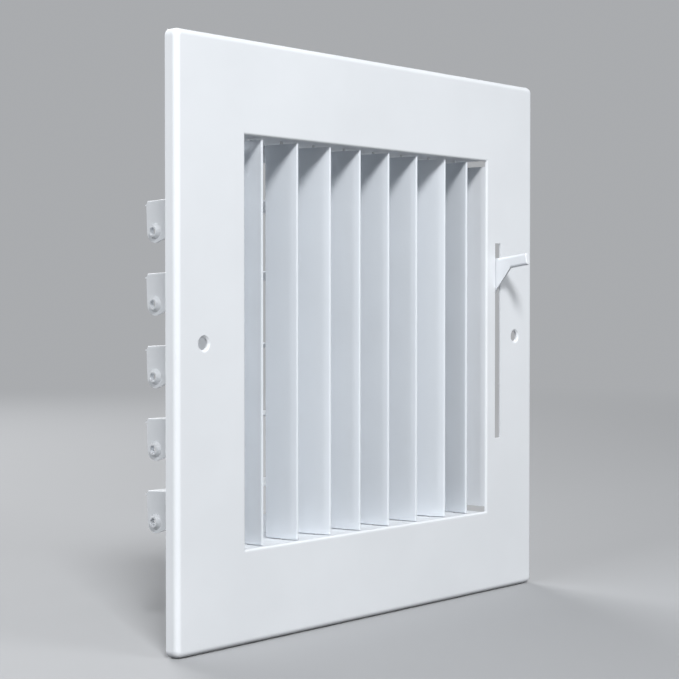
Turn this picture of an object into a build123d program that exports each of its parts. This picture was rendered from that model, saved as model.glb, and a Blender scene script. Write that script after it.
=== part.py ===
from build123d import *
import os
from math import acos, atan2, cos, hypot, radians, sin, tan

os.makedirs("parts", exist_ok=True)

# Adjustable air supply grille for a wall: pressed face plate, eight upright louvers that each turn
# by themselves, and a damper of five level blades behind them, worked by a lever through a slot.
# Millimetres and degrees. +X is to the right seen from the room, +Y goes into the wall, +Z is up.
# The rear edge of the rim lies on the wall at Y = 0, and depths are counted from the front face.

# Face plate
plate_width = 247.65
plate_height = 247.65
rim_depth = 6.35
sheet = 0.8
corner_radius = 3.0
edge_radius = 2.4
opening_width = 169.5
opening_height = 169.5
opening_bend_radius = 1.05
opening_bend_run = 0.05
collar_depth = 22.0
corner_relief = 2.5

# Screw holes, pressed in so that the screw heads lie flush
screw_spacing = 217.4
screw_hole = 5.1
dimple_diameter = 6.9
dimple_depth = 0.7

# Louvers: aerofoil section, rest angle positive where the nose points to the right
louver_pitch = 20.64
louver_chord = 17.0
louver_setback = 1.6
louver_nose_radius = 0.65
louver_tail_radius = 0.4
louver_belly = 2.2
louver_belly_setback = 7.5
louver_upper_gap = 1.0
louver_lower_gap = 0.5
louver_rest_angles = [-3.0, 6.5, 13.0, 8.5, 6.0, 6.0, 16.0, -9.5]

# Louver pins, headed on the outside of the collar
pin_diameter = 1.2
pin_insert = 7.0
pin_head_diameter = 3.0
pin_head = 0.8
bore_end_room = 0.4

# Damper rails and stops
rail_sheet = 1.0
rail_setback = 2.2
rail_depth = 43.0
stop_sheet = 0.8
stop_setback = 14.5
stop_depth = 35.0

# Damper blades: the blade stands above its pivot, its rear lip is set down to lap the next blade
blade_count = 5
blade_pitch = 31.1
damper_depth = 37.0
damper_height = -5.4
blade_sheet = 0.6
blade_rise = 4.1
blade_front = 9.6
blade_flat_end = 20.3
blade_lip_start = 20.9
blade_lip_end = 22.4
lip_drop = 1.4
rib_place = 5.0
rib_width = 5.0
rib_drop = 1.3
blade_rest_angle = -2.5

# End tabs of the damper blades, with a raised hole for the link
tab_sheet = 0.75
tab_front = 6.0
tab_front_drop = 5.0
tab_front_radius = 3.0
tab_corner_radius = 1.0
link_back = 16.0
link_drop = 9.2
link_hole = 3.4
link_eye_radius = 4.9
boss_height = 1.6
boss_foot = 7.0
boss_top = 4.6

# Rivets
rivet_diameter = 4.0
rivet_head_diameter = 6.5
rivet_head = 1.2
rivet_crown_diameter = 4.4
rivet_tail_diameter = 5.6
rivet_tail = 0.8
link_head_diameter = 6.0
link_head = 1.0

# Link bar
link_bar_width = 10.0
link_bar_sheet = 1.0

# Control lever, keyed to the middle blade by a stub with square ends
lever_standoff = 7.05
lever_sheet = 1.2
lever_boss_radius = 7.0
lever_rise = 43.45
lever_elbow = 4.5
handle_tilt = 8.2
handle_reach = 17.6
handle_height = 5.8
grip_width = 3.0
grip_edge_radius = 1.4
grip_end_radius = 0.5
grip_setoff = 1.0
gusset_reach = 8.2
gusset_angle = 52.0
gusset_depth = 8.5
stub_diameter = 5.0
stub_key = 3.4
stub_head_diameter = 5.2
stub_head = 0.8
lever_lift_angle = 8.0
lever_travel_angle = 89.5

# Clearances
pin_clearance = 0.06
rivet_clearance = 0.06
stub_clearance = 0.06
key_clearance = 0.03
side_clearance = 0.3
stop_clearance = 0.4
slot_side_clearance = 0.75
slot_end_clearance = 0.8

# Places worked out from the sizes above
front = -rim_depth
half_width = opening_width / 2
half_height = opening_height / 2
opening_bend = opening_bend_radius + opening_bend_run
collar_outer_x = half_width + sheet
collar_outer_z = half_height + sheet
louver_y = front + louver_setback + louver_chord / 2
louver_top = half_height - louver_upper_gap
louver_bottom = louver_lower_gap - half_height
louver_count = len(louver_rest_angles)
louver_x = [louver_pitch * (n - (louver_count - 1) / 2) for n in range(louver_count)]
rail_outer_x = collar_outer_x + rail_sheet
lever_inner = collar_outer_x + lever_standoff
lever_outer = lever_inner + lever_sheet
grip_x = lever_inner + grip_width / 2
tab_face = collar_outer_x - side_clearance
damper_y = front + damper_depth
pivot_z = [damper_height + blade_pitch * ((blade_count - 1) / 2 - n) for n in range(blade_count)]
middle_blade = blade_count // 2
boss_face = tab_face + boss_height
face_plane = Plane.XZ.offset(rim_depth)


def turned(y, z, angle):
    """A point beside a damper pivot, turned about it, with the rear rising for a positive angle."""
    turn = radians(angle)
    return y * cos(turn) - z * sin(turn), y * sin(turn) + z * cos(turn)


def height_at(reach, start, end):
    """Height at which the straight edge from start to end stands at the given reach."""
    return start[1] + (end[1] - start[1]) * (reach - start[0]) / (end[0] - start[0])


def boss_tangent(point, side):
    """Where an edge from the point touches the lever's round boss, on its upper (1) or lower (-1) side."""
    angle = atan2(point[1], point[0]) + side * acos(lever_boss_radius / hypot(*point))
    return lever_boss_radius * cos(angle), lever_boss_radius * sin(angle)


def handle_point(reach, share):
    """A point of the handle, from its reach beyond the face and its share of the way from top to bottom."""
    drop = share * handle_height / cos(radians(handle_tilt))
    return damper_depth + reach, lever_rise + reach * tan(radians(handle_tilt)) - drop


# Lever outline, as reach towards the room and height, both from the middle blade's pivot at rest
elbow = handle_point(-lever_elbow, 0)
grip_top = handle_point(grip_setoff, 0)
grip_start = handle_point(grip_setoff, 0.5)
handle_top = handle_point(handle_reach, 0)
gusset_middle = handle_point(gusset_reach, 0.5)
gusset_top = handle_point(gusset_reach, 1)
gusset_foot = (
    damper_depth - gusset_depth,
    gusset_top[1] - (gusset_reach + gusset_depth) * tan(radians(gusset_angle)),
)
upper_tangent = boss_tangent(elbow, 1)
lower_tangent = boss_tangent(gusset_foot, -1)

# The slot ends just beyond the lever's edges at both ends of its travel
slot_top = damper_height + slot_end_clearance + height_at(
    damper_depth, turned(*elbow, lever_lift_angle), turned(*handle_top, lever_lift_angle)
)
slot_bottom = damper_height - slot_end_clearance + height_at(
    damper_depth, turned(*gusset_foot, -lever_travel_angle), turned(*gusset_top, -lever_travel_angle)
)

# Face plate
with BuildPart() as face_plate:
    # Shallow pressed tray with rounded edges and corners
    with BuildSketch(Plane.XZ):
        RectangleRounded(plate_width, plate_height, corner_radius)
    extrude(amount=rim_depth)
    fillet(face_plate.faces().sort_by(Axis.Y)[0].edges(), edge_radius)
    offset(amount=-sheet, openings=face_plate.faces().sort_by(Axis.Y)[-1])
    # Opening with a rolled front edge
    with BuildSketch(face_plane):
        Rectangle(opening_width + 2 * sheet, opening_height + 2 * sheet)
    extrude(amount=-opening_bend)
    with BuildSketch(face_plane):
        Rectangle(opening_width, opening_height)
    extrude(amount=-opening_bend, mode=Mode.SUBTRACT)
    fillet(face_plate.faces().sort_by(Axis.Y)[0].inner_wires()[0].edges(), opening_bend_radius)
    # Collar walls, each cut back at its ends
    with BuildSketch(face_plane.offset(-opening_bend)):
        with Locations((-half_width - sheet / 2, 0), (half_width + sheet / 2, 0)):
            Rectangle(sheet, opening_height - 2 * corner_relief)
        with Locations((0, -half_height - sheet / 2), (0, half_height + sheet / 2)):
            Rectangle(opening_width - 2 * corner_relief, sheet)
    extrude(amount=opening_bend - collar_depth)
    # Holes for the louver pins through the upper and lower walls
    with BuildSketch(Plane.XY.offset(-collar_outer_z)):
        with Locations(*[(x, louver_y) for x in louver_x]):
            Circle(pin_diameter / 2 + pin_clearance)
    extrude(amount=2 * collar_outer_z, mode=Mode.SUBTRACT)
    # Lever slot
    with BuildSketch(face_plane):
        with Locations((grip_x, (slot_top + slot_bottom) / 2)):
            Rectangle(grip_width + 2 * slot_side_clearance, slot_top - slot_bottom)
    extrude(amount=-sheet, mode=Mode.SUBTRACT)
    # Screw holes, dimpled into the sheet
    with BuildSketch(face_plane):
        with Locations((-screw_spacing / 2, 0), (screw_spacing / 2, 0)):
            Circle(dimple_diameter / 2)
    extrude(amount=-sheet, mode=Mode.SUBTRACT)
    for screw_x in (-screw_spacing / 2, screw_spacing / 2):
        with BuildSketch(Plane((screw_x, front, 0))):
            with BuildLine():
                Polyline(
                    (dimple_diameter / 2, 0),
                    (dimple_diameter / 2, sheet),
                    (screw_hole / 2, dimple_depth + sheet),
                    (screw_hole / 2, dimple_depth),
                    close=True,
                )
            make_face()
        revolve(axis=Axis((screw_x, front, 0), (0, 1, 0)))
face_plate.part.label = "face_plate"
export_step(face_plate.part, "parts/face_plate.step")

# One louver about its own pivot, nose towards the room
nose_y = louver_nose_radius - louver_chord / 2
belly_y = louver_belly_setback - louver_chord / 2
tail_y = louver_chord / 2 - louver_tail_radius
with BuildPart() as louver_form:
    with BuildSketch(Plane.XY.offset(louver_bottom)):
        with BuildLine():
            for y, tip_y, radius in (
                (nose_y, -louver_chord / 2, louver_nose_radius),
                (tail_y, louver_chord / 2, louver_tail_radius),
            ):
                ThreePointArc((-radius, y), (0, tip_y), (radius, y))
            for side in (-1, 1):
                ThreePointArc(
                    (side * louver_nose_radius, nose_y),
                    (side * louver_belly / 2, belly_y),
                    (side * louver_tail_radius, tail_y),
                )
        make_face()
    extrude(amount=louver_top - louver_bottom)
    # Bores for the pins
    bore_depth = pin_insert + bore_end_room
    for end_z, depth in ((louver_bottom, bore_depth), (louver_top, -bore_depth)):
        with BuildSketch(Plane.XY.offset(end_z)):
            Circle(pin_diameter / 2 + pin_clearance)
        extrude(amount=depth, mode=Mode.SUBTRACT)

# Louvers at their rest angles
for number, (x, rest) in enumerate(zip(louver_x, louver_rest_angles), start=1):
    with BuildPart() as louver:
        with Locations(Location((x, louver_y, 0), (0, 0, rest))):
            add(louver_form.part)
    louver.part.label = f"louver_{number}"
    export_step(louver.part, f"parts/louver_{number}.step")

# Louver pins, one set above and one below
for name, end, louver_end in (
    ("upper_louver_pins", 1, louver_top),
    ("lower_louver_pins", -1, louver_bottom),
):
    with BuildPart() as louver_pins:
        with BuildSketch(Plane.XY.offset(louver_end - end * pin_insert)):
            with Locations(*[(x, louver_y) for x in louver_x]):
                Circle(pin_diameter / 2)
        extrude(amount=end * (collar_outer_z + pin_insert) - louver_end)
        with BuildSketch(Plane.XY.offset(end * collar_outer_z)):
            with Locations(*[(x, louver_y) for x in louver_x]):
                Circle(pin_head_diameter / 2)
        extrude(amount=end * pin_head)
    louver_pins.part.label = name
    export_step(louver_pins.part, f"parts/{name}.step")

# Damper rails, flat on the outside of the collar's side walls
rail_front = front + rail_setback
rail_rear = front + rail_depth
for name, side in (("left_damper_rail", -1), ("right_damper_rail", 1)):
    with BuildPart() as rail:
        with BuildSketch(Plane.YZ.offset(side * collar_outer_x)):
            with Locations(((rail_front + rail_rear) / 2, 0)):
                Rectangle(rail_rear - rail_front, opening_height - 2 * corner_relief)
            for n, z in enumerate(pivot_z):
                pivot_radius = rivet_diameter / 2 + rivet_clearance
                if side > 0 and n == middle_blade:
                    pivot_radius = stub_diameter / 2 + stub_clearance
                with Locations((damper_y, z)):
                    Circle(pivot_radius, mode=Mode.SUBTRACT)
        extrude(amount=side * rail_sheet)
    rail.part.label = name
    export_step(rail.part, f"parts/{name}.step")

# Stops, angle strips on the upper and lower collar walls that close the damper's first and last gap
closed_angle = blade_rest_angle + lever_travel_angle
upper_reach = pivot_z[0] + turned(blade_lip_start, blade_rise - lip_drop, closed_angle)[1]
lower_reach = -pivot_z[-1] - turned(-blade_front, blade_rise - blade_sheet, closed_angle)[1]
for name, side, reach in (("upper_stop", 1, upper_reach), ("lower_stop", -1, lower_reach)):
    lip = reach + stop_clearance
    with BuildPart() as stop:
        with BuildSketch(Plane.YZ.offset(corner_relief - half_width)):
            with BuildLine():
                Polyline(
                    (front + stop_setback, side * collar_outer_z),
                    (front + stop_setback, side * (collar_outer_z + stop_sheet)),
                    (front + stop_depth, side * (collar_outer_z + stop_sheet)),
                    (front + stop_depth, side * lip),
                    (front + stop_depth - stop_sheet, side * lip),
                    (front + stop_depth - stop_sheet, side * collar_outer_z),
                    close=True,
                )
            make_face()
        extrude(amount=opening_width - 2 * corner_relief)
    stop.part.label = name
    export_step(stop.part, f"parts/{name}.step")

# One damper blade about its own pivot, before its pivot holes are cut
blade_top = [
    (-blade_front, blade_rise),
    (rib_place - rib_width / 2, blade_rise),
    (rib_place, blade_rise - rib_drop),
    (rib_place + rib_width / 2, blade_rise),
    (blade_flat_end, blade_rise),
    (blade_lip_start, blade_rise - lip_drop),
    (blade_lip_end, blade_rise - lip_drop),
]
tab_rear = link_back + link_eye_radius
tab_top = blade_rise - tab_sheet
with BuildPart() as blade_form:
    # Blade with its stiffening rib and lapping lip
    with BuildSketch(Plane.YZ.offset(tab_sheet - tab_face)):
        with BuildLine():
            Polyline(*blade_top, *[(y, z - blade_sheet) for y, z in reversed(blade_top)], close=True)
        make_face()
    extrude(amount=2 * (tab_face - tab_sheet))
    # End tabs folded down, each with a raised hole for the link
    for side in (-1, 1):
        with BuildSketch(Plane.YZ.offset(side * (tab_face - tab_sheet))):
            with Locations((link_back, -link_drop)):
                Circle(link_eye_radius)
            with Locations((tab_front_radius - tab_front, -tab_front_drop)):
                Circle(tab_front_radius)
            for corner_y in (tab_corner_radius - tab_front, tab_rear - tab_corner_radius):
                with Locations((corner_y, tab_top - tab_corner_radius)):
                    Circle(tab_corner_radius)
            make_hull()
        extrude(amount=side * tab_sheet)
        with BuildSketch(Plane((side * tab_face, link_back, -link_drop))):
            with BuildLine():
                Polyline(
                    (0, 0),
                    (0, boss_foot / 2),
                    (side * boss_height, boss_top / 2),
                    (side * boss_height, 0),
                    close=True,
                )
            make_face()
        revolve(axis=Axis((side * tab_face, link_back, -link_drop), (1, 0, 0)))
        # Rounded fold between blade and tab
        fold_x = tab_face - tab_sheet
        with BuildSketch(Plane.XZ.offset(-blade_flat_end)):
            with BuildLine():
                Polyline(
                    (side * fold_x, blade_rise),
                    (side * fold_x, tab_top - tab_corner_radius),
                    (side * tab_face, tab_top - tab_corner_radius),
                    (side * tab_face, tab_top),
                )
                CenterArc((side * fold_x, tab_top), tab_sheet, 0 if side > 0 else 90, 90)
            make_face()
        extrude(amount=blade_flat_end + tab_front - tab_corner_radius)
    with BuildSketch(Plane.YZ.offset(-boss_face)):
        with Locations((link_back, -link_drop)):
            Circle(link_hole / 2)
    extrude(amount=2 * boss_face, mode=Mode.SUBTRACT)

# Damper blades at their rest angle, the middle one keyed to the lever at its right end
for n, z in enumerate(pivot_z):
    with BuildPart() as damper_blade:
        with Locations(Location((0, damper_y, z), (blade_rest_angle, 0, 0))):
            add(blade_form.part)
        for side in (-1, 1):
            with BuildSketch(Plane.YZ.offset(side * tab_face)):
                with Locations((damper_y, z)):
                    if side > 0 and n == middle_blade:
                        Rectangle(stub_key + 2 * key_clearance, stub_key + 2 * key_clearance)
                    else:
                        Circle(rivet_diameter / 2 + rivet_clearance)
            extrude(amount=-side * tab_sheet, mode=Mode.SUBTRACT)
    damper_blade.part.label = f"damper_blade_{n + 1}"
    export_step(damper_blade.part, f"parts/damper_blade_{n + 1}.step")

# Pivot rivets, headed outside the rails and closed inside the tabs
tail_face = tab_face - tab_sheet - side_clearance
right_pivots = [z for n, z in enumerate(pivot_z) if n != middle_blade]
for name, side, heights in (("left_pivot_rivets", -1, pivot_z), ("right_pivot_rivets", 1, right_pivots)):
    with BuildPart() as pivot_rivets:
        for z in heights:
            with BuildSketch(Plane((0, damper_y, z))):
                with BuildLine():
                    Polyline(
                        (side * (tail_face - rivet_tail), 0),
                        (side * (tail_face - rivet_tail), rivet_tail_diameter / 2),
                        (side * tail_face, rivet_tail_diameter / 2),
                        (side * tail_face, rivet_diameter / 2),
                        (side * rail_outer_x, rivet_diameter / 2),
                        (side * rail_outer_x, rivet_head_diameter / 2),
                        (side * (rail_outer_x + rivet_head), rivet_crown_diameter / 2),
                        (side * (rail_outer_x + rivet_head), 0),
                        close=True,
                    )
                make_face()
            revolve(axis=Axis((0, damper_y, z), (1, 0, 0)))
    pivot_rivets.part.label = name
    export_step(pivot_rivets.part, f"parts/{name}.step")

# Link bar on the raised holes of the right-hand tabs
link_y, link_z = turned(link_back, -link_drop, blade_rest_angle)
link_points = [(damper_y + link_y, z + link_z) for z in pivot_z]
link_span = blade_pitch * (blade_count - 1)
with BuildPart() as link_bar:
    with BuildSketch(Plane.YZ.offset(boss_face)):
        with Locations((damper_y + link_y, damper_height + link_z)):
            SlotCenterToCenter(link_span, link_bar_width, rotation=90)
        with Locations(*link_points):
            Circle(link_hole / 2, mode=Mode.SUBTRACT)
    extrude(amount=link_bar_sheet)
link_bar.part.label = "link_bar"
export_step(link_bar.part, "parts/link_bar.step")

# Link rivets, headed outside the bar and closed inside the tabs
link_bar_face = boss_face + link_bar_sheet
with BuildPart() as link_rivets:
    for plane_x, length, radius in (
        (link_bar_face, link_head, link_head_diameter / 2),
        (link_bar_face, tail_face - link_bar_face, link_hole / 2 - rivet_clearance),
        (tail_face, -rivet_tail, rivet_tail_diameter / 2),
    ):
        with BuildSketch(Plane.YZ.offset(plane_x)):
            with Locations(*link_points):
                Circle(radius)
        extrude(amount=length)
link_rivets.part.label = "link_rivets"
export_step(link_rivets.part, "parts/link_rivets.step")

# Control lever: arm and gusset in one sheet, with a rounded grip that lies flush on its left
lever_plane = Plane(origin=(lever_outer, damper_y, damper_height), x_dir=(0, -1, 0), z_dir=(-1, 0, 0))
grip_length = (handle_reach - grip_setoff) / cos(radians(handle_tilt))
grip_plane = Plane(
    origin=(grip_x, damper_y - grip_start[0], damper_height + grip_start[1]),
    x_dir=(1, 0, 0),
    z_dir=(0, -cos(radians(handle_tilt)), sin(radians(handle_tilt))),
)
with BuildPart() as control_lever:
    with BuildSketch(lever_plane):
        with BuildLine():
            Polyline(
                upper_tangent,
                elbow,
                grip_top,
                grip_start,
                gusset_middle,
                gusset_top,
                gusset_foot,
                lower_tangent,
                close=True,
            )
        make_face()
        Circle(lever_boss_radius)
        Rectangle(stub_key + 2 * key_clearance, stub_key + 2 * key_clearance, mode=Mode.SUBTRACT)
    extrude(amount=lever_sheet)
    with BuildSketch(grip_plane):
        RectangleRounded(grip_width, handle_height, grip_edge_radius)
    extrude(amount=grip_length)
    fillet(control_lever.faces().sort_by(Axis.Y)[0].edges(), grip_end_radius)
control_lever.part.label = "control_lever"
export_step(control_lever.part, "parts/control_lever.step")

# Lever stub: round in the rail, square in the tab and in the lever, riveted over at both ends
with BuildPart() as lever_stub:
    tab_inner = tab_face - tab_sheet
    with BuildSketch(Plane.YZ.offset(tab_face)):
        with Locations((damper_y, damper_height)):
            Circle(stub_diameter / 2)
    extrude(amount=lever_inner - tab_face)
    with BuildSketch(Plane.YZ.offset(tab_inner)):
        with Locations((damper_y, damper_height)):
            Rectangle(stub_key, stub_key)
    extrude(amount=lever_outer - tab_inner)
    for head_face, length in ((tab_inner, -stub_head), (lever_outer, stub_head)):
        with BuildSketch(Plane.YZ.offset(head_face)):
            with Locations((damper_y, damper_height)):
                Circle(stub_head_diameter / 2)
        extrude(amount=length)
lever_stub.part.label = "lever_stub"
export_step(lever_stub.part, "parts/lever_stub.step")
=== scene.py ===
import bpy
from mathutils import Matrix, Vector


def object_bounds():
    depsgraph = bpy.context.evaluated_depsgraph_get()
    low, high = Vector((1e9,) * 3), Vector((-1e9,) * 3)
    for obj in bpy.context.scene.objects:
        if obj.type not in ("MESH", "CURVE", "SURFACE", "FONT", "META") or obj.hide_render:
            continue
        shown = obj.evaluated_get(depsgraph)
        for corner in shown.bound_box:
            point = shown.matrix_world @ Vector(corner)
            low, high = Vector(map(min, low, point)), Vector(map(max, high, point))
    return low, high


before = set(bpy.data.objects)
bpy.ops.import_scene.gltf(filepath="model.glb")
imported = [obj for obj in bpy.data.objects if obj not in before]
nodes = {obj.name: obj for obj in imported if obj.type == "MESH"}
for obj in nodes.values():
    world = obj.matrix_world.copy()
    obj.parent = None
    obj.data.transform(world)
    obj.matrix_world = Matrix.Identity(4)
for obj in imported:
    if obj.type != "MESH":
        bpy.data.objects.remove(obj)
cad_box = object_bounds()
scene = bpy.context.scene
scene.view_settings.view_transform = "Standard"

# Photograph's frame and the camera fitted to it: pixels, sensor in millimetres, places in metres
IMAGE_SIZE = 679
FOCAL_PIXELS = 1707.0
SENSOR = 36.0
CAMERA_PLACE = Vector((-0.5916, -0.48555, 0.01565))
CAMERA_TARGET = Vector((-0.0254, -0.00635, 0.00044))
CLIP_START = 0.01
CLIP_END = 100.0

# Colours of the finishes, the louvers' with painted shade
FACE_COLOUR = (0.80, 0.825, 0.855)
# The louvers carry the same white enamel as the face; their colour is set darker and bluer as painted
# shade for the recess they sit in
LOUVER_SHADED_COLOUR = (0.75, 0.79, 0.835)
DAMPER_COLOUR = (0.79, 0.812, 0.84)
ZINC_COLOUR = (0.78, 0.79, 0.80)

# How far the colour strays from its mean, as shares of it, and between which values of a noise
ENAMEL_PALE = 1.015
ENAMEL_DULL = 0.965
ENAMEL_DULL_UP_TO = 0.32
ENAMEL_PALE_FROM = 0.68
ZINC_DULL = 0.86
ZINC_DULL_UP_TO = 0.35
ZINC_BRIGHT_FROM = 0.65

# Gloss of the enamel and the zinc
GLOSS_BELOW = 0.05
GLOSS_ABOVE = 0.06
ENAMEL_SPECULAR = 0.36
ENAMEL_COAT = 0.03
ENAMEL_COAT_ROUGHNESS = 0.22
ZINC_ROUGHNESS = (0.26, 0.46)

# Part of a noise's range that most of its values lie in
NOISE_LOW = 0.3
NOISE_HIGH = 0.7

# Pale floor that runs into a background of the same tone, with its sizes in metres
FLOOR_SIZE = 40.0
FLOOR_GAP = 0.0002
FLOOR_COLOUR = (0.40, 0.407, 0.418, 1.0)
FLOOR_ROUGHNESS = 0.8
FLOOR_BOUNCE = (0.08, 0.08, 0.08, 1.0)
BACKDROP = (0.40, 0.41, 0.425, 1.0)
FADE_START = 0.5
FADE_END = 2.2

# Light from all round, and the softboxes with their distance and side in metres
AMBIENT_COLOUR = (0.90, 0.955, 1.0, 1.0)
AMBIENT_STRENGTH = 0.03
SOFTBOXES = {
    "key_softbox": {"direction": (-0.50, -0.56, 0.68), "distance": 2.2, "side": 0.46, "watts": 44.5,
                    "colour": (0.985, 0.99, 1.0)},
    "left_softbox": {"direction": (-0.97, -0.02, 0.24), "distance": 2.0, "side": 0.7, "watts": 15.0,
                     "colour": (0.95, 0.975, 1.0)},
    "front_softbox": {"direction": (0.15, -0.95, 0.30), "distance": 2.0, "side": 0.8, "watts": 16.5,
                      "colour": (0.96, 0.98, 1.0)},
    "rear_softbox": {"direction": (0.35, 0.80, 0.48), "distance": 2.4, "side": 1.2, "watts": 38.0,
                     "colour": (0.985, 0.99, 1.0)},
}


class Shader:
    """A node material with a Principled surface and short calls to add nodes."""

    def __init__(self, name):
        self.material = bpy.data.materials.new(name)
        self.material.use_nodes = True
        self.tree = self.material.node_tree
        self.tree.nodes.clear()
        self.output = self.tree.nodes.new("ShaderNodeOutputMaterial")
        self.surface = self.tree.nodes.new("ShaderNodeBsdfPrincipled")
        self.link(self.surface.outputs["BSDF"], self.output.inputs["Surface"])
        self.place = self.tree.nodes.new("ShaderNodeTexCoord").outputs["Object"]

    def link(self, source, target):
        self.tree.links.new(source, target)

    def feed(self, socket, source):
        """Drives a socket of the surface by the output of another node."""
        self.link(source, self.surface.inputs[socket])

    def fix(self, socket, value):
        """Sets a socket of the surface to a value that is the same all over."""
        self.surface.inputs[socket].default_value = value

    def noise(self, scale, detail, roughness):
        noise = self.tree.nodes.new("ShaderNodeTexNoise")
        noise.inputs["Scale"].default_value = scale
        noise.inputs["Detail"].default_value = detail
        noise.inputs["Roughness"].default_value = roughness
        self.link(self.place, noise.inputs["Vector"])
        return noise.outputs["Fac"]

    def ramp(self, factor, stops):
        """Colour that goes through the stops, each a position and a colour, as the factor rises."""
        ramp = self.tree.nodes.new("ShaderNodeValToRGB")
        for element, (position, colour) in zip(ramp.color_ramp.elements, stops):
            element.position = position
            element.color = (*colour, 1.0)
        self.link(factor, ramp.inputs["Fac"])
        return ramp.outputs["Color"]

    def span(self, factor, low, high):
        """Number between low and high that follows a noise."""
        span = self.tree.nodes.new("ShaderNodeMapRange")
        span.inputs["From Min"].default_value = NOISE_LOW
        span.inputs["From Max"].default_value = NOISE_HIGH
        span.inputs["To Min"].default_value = low
        span.inputs["To Max"].default_value = high
        self.link(factor, span.inputs["Value"])
        return span.outputs["Result"]

    def bump(self, height, strength, distance, before=None):
        """Normal bent by a height in metres, on top of an earlier bump if there is one."""
        bump = self.tree.nodes.new("ShaderNodeBump")
        bump.inputs["Strength"].default_value = strength
        bump.inputs["Distance"].default_value = distance
        self.link(height, bump.inputs["Height"])
        if before is not None:
            self.link(before, bump.inputs["Normal"])
        return bump.outputs["Normal"]

    def mix(self, factor, first, second):
        """First shader where the factor is 0, and the second where it is 1."""
        mix = self.tree.nodes.new("ShaderNodeMixShader")
        self.link(factor, mix.inputs["Fac"])
        self.link(first, mix.inputs[1])
        self.link(second, mix.inputs[2])
        return mix.outputs["Shader"]


def enamel(name, colour, roughness, peel):
    """Baked enamel on pressed sheet: faint orange peel, slight waves and a film that is never even."""
    shader = Shader(name)
    pale = tuple(min(1.0, c * ENAMEL_PALE) for c in colour)
    dull = tuple(c * ENAMEL_DULL for c in colour)
    cloud = shader.noise(scale=14.0, detail=4.0, roughness=0.55)
    shader.feed("Base Color", shader.ramp(cloud, [(ENAMEL_DULL_UP_TO, dull), (ENAMEL_PALE_FROM, pale)]))
    film = shader.noise(scale=55.0, detail=3.0, roughness=0.6)
    shader.feed("Roughness", shader.span(film, roughness - GLOSS_BELOW, roughness + GLOSS_ABOVE))
    swell = shader.noise(scale=22.0, detail=2.0, roughness=0.4)
    waves = shader.bump(swell, strength=0.06, distance=0.002)
    grain = shader.noise(scale=1500.0, detail=2.0, roughness=0.45)
    shader.feed("Normal", shader.bump(grain, strength=peel, distance=0.00006, before=waves))
    shader.fix("Specular IOR Level", ENAMEL_SPECULAR)
    shader.fix("Coat Weight", ENAMEL_COAT)
    shader.fix("Coat Roughness", ENAMEL_COAT_ROUGHNESS)
    return shader.material


def zinc(name, colour):
    """Bright zinc on small steel pins and rivets, slightly mottled, with fine turning marks."""
    shader = Shader(name)
    dull = tuple(c * ZINC_DULL for c in colour)
    mottle = shader.noise(scale=420.0, detail=4.0, roughness=0.6)
    shader.feed("Base Color", shader.ramp(mottle, [(ZINC_DULL_UP_TO, dull), (ZINC_BRIGHT_FROM, colour)]))
    sheen = shader.noise(scale=900.0, detail=3.0, roughness=0.6)
    shader.feed("Roughness", shader.span(sheen, *ZINC_ROUGHNESS))
    marks = shader.noise(scale=2600.0, detail=2.0, roughness=0.5)
    shader.feed("Normal", shader.bump(marks, strength=0.2, distance=0.00004))
    shader.fix("Metallic", 1.0)
    return shader.material


face_enamel = enamel("face_enamel", FACE_COLOUR, roughness=0.48, peel=0.22)
# Louver enamel in a darker, bluer colour than the face: painted shade of the recess
louver_enamel = enamel("louver_enamel", LOUVER_SHADED_COLOUR, roughness=0.42, peel=0.18)
damper_enamel = enamel("damper_enamel", DAMPER_COLOUR, roughness=0.46, peel=0.26)
zinc_steel = zinc("zinc_steel", ZINC_COLOUR)

# Painted pieces by name without their number. Pins, rivets and the lever's stub are zinc.
FINISHES = {
    "face_plate": face_enamel,
    "control_lever": face_enamel,
    "louver": louver_enamel,
    "damper_blade": damper_enamel,
    "left_damper_rail": damper_enamel,
    "right_damper_rail": damper_enamel,
    "upper_stop": damper_enamel,
    "lower_stop": damper_enamel,
    "link_bar": damper_enamel,
}
for name, node in nodes.items():
    stem = name.rstrip("0123456789").rstrip("_")
    node.data.materials.clear()
    node.data.materials.append(FINISHES.get(stem, zinc_steel))


def seen_rays(tree):
    """1 for rays that show a surface directly, mirrored or through glass, and 0 for light bounces."""
    path = tree.nodes.new("ShaderNodeLightPath")
    seen = path.outputs["Is Camera Ray"]
    for kind in ("Is Glossy Ray", "Is Transmission Ray"):
        either = tree.nodes.new("ShaderNodeMath")
        either.operation = "MAXIMUM"
        tree.links.new(seen, either.inputs[0])
        tree.links.new(path.outputs[kind], either.inputs[1])
        seen = either.outputs["Value"]
    return seen


def pale_floor():
    """Matt floor that keeps the shadow near the object and fades into the background further out.

    It throws little light back up, as a dark studio floor does.
    """
    shader = Shader("pale_floor")
    shader.fix("Base Color", FLOOR_COLOUR)
    shader.fix("Roughness", FLOOR_ROUGHNESS)
    length = shader.tree.nodes.new("ShaderNodeVectorMath")
    length.operation = "LENGTH"
    shader.link(shader.place, length.inputs[0])
    fade = shader.tree.nodes.new("ShaderNodeMapRange")
    fade.interpolation_type = "SMOOTHSTEP"
    fade.inputs["From Min"].default_value = FADE_START
    fade.inputs["From Max"].default_value = FADE_END
    shader.link(length.outputs["Value"], fade.inputs["Value"])
    glow = shader.tree.nodes.new("ShaderNodeEmission")
    glow.inputs["Color"].default_value = BACKDROP
    look = shader.mix(fade.outputs["Result"], shader.surface.outputs["BSDF"], glow.outputs["Emission"])
    bounce = shader.tree.nodes.new("ShaderNodeBsdfDiffuse")
    bounce.inputs["Color"].default_value = FLOOR_BOUNCE
    whole = shader.mix(seen_rays(shader.tree), bounce.outputs["BSDF"], look)
    shader.link(whole, shader.output.inputs["Surface"])
    return shader.material


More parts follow.
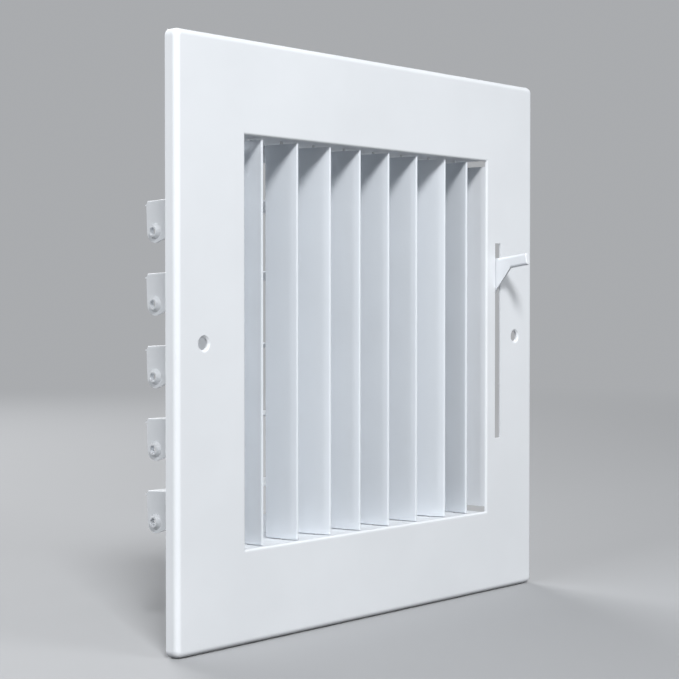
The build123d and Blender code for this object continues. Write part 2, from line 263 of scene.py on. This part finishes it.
def studio_world():
    """Faint light from all round, with the plain background where it is seen."""
    world = bpy.data.worlds.new("studio")
    world.use_nodes = True
    tree = world.node_tree
    tree.nodes.clear()
    output = tree.nodes.new("ShaderNodeOutputWorld")
    mix = tree.nodes.new("ShaderNodeMixShader")
    ambient = tree.nodes.new("ShaderNodeBackground")
    ambient.inputs["Color"].default_value = AMBIENT_COLOUR
    ambient.inputs["Strength"].default_value = AMBIENT_STRENGTH
    backdrop = tree.nodes.new("ShaderNodeBackground")
    backdrop.inputs["Color"].default_value = BACKDROP
    tree.links.new(seen_rays(tree), mix.inputs["Fac"])
    tree.links.new(ambient.outputs["Background"], mix.inputs[1])
    tree.links.new(backdrop.outputs["Background"], mix.inputs[2])
    tree.links.new(mix.outputs["Shader"], output.inputs["Surface"])
    return world


def softbox(name, direction, distance, side, watts, colour):
    """Square studio light in a direction from the object, facing its middle."""
    light = bpy.data.lights.new(name, "AREA")
    light.shape = "SQUARE"
    light.size = side
    light.energy = watts
    light.color = colour
    lamp = bpy.data.objects.new(name, light)
    lamp.location = Vector(direction).normalized() * distance
    lamp.rotation_mode = "QUATERNION"
    lamp.rotation_quaternion = (-lamp.location).to_track_quat("-Z", "Y")
    lamp.visible_camera = False
    scene.collection.objects.link(lamp)


# Stage and light
floor_z = cad_box[0].z - FLOOR_GAP
bpy.ops.mesh.primitive_plane_add(size=FLOOR_SIZE, location=(0.0, 0.0, floor_z))
floor = bpy.context.object
floor.name = "floor"
floor.data.materials.append(pale_floor())
scene.world = studio_world()
for name, values in SOFTBOXES.items():
    softbox(name, **values)

# Camera at the photograph's viewing angle
camera_data = bpy.data.cameras.new("camera")
camera_data.sensor_fit = "HORIZONTAL"
camera_data.sensor_width = SENSOR
camera_data.lens = SENSOR * FOCAL_PIXELS / IMAGE_SIZE
camera_data.clip_start = CLIP_START
camera_data.clip_end = CLIP_END
camera = bpy.data.objects.new("camera", camera_data)
camera.location = CAMERA_PLACE
camera.rotation_mode = "QUATERNION"
camera.rotation_quaternion = (CAMERA_TARGET - CAMERA_PLACE).to_track_quat("-Z", "Y")
scene.collection.objects.link(camera)
scene.camera = camera
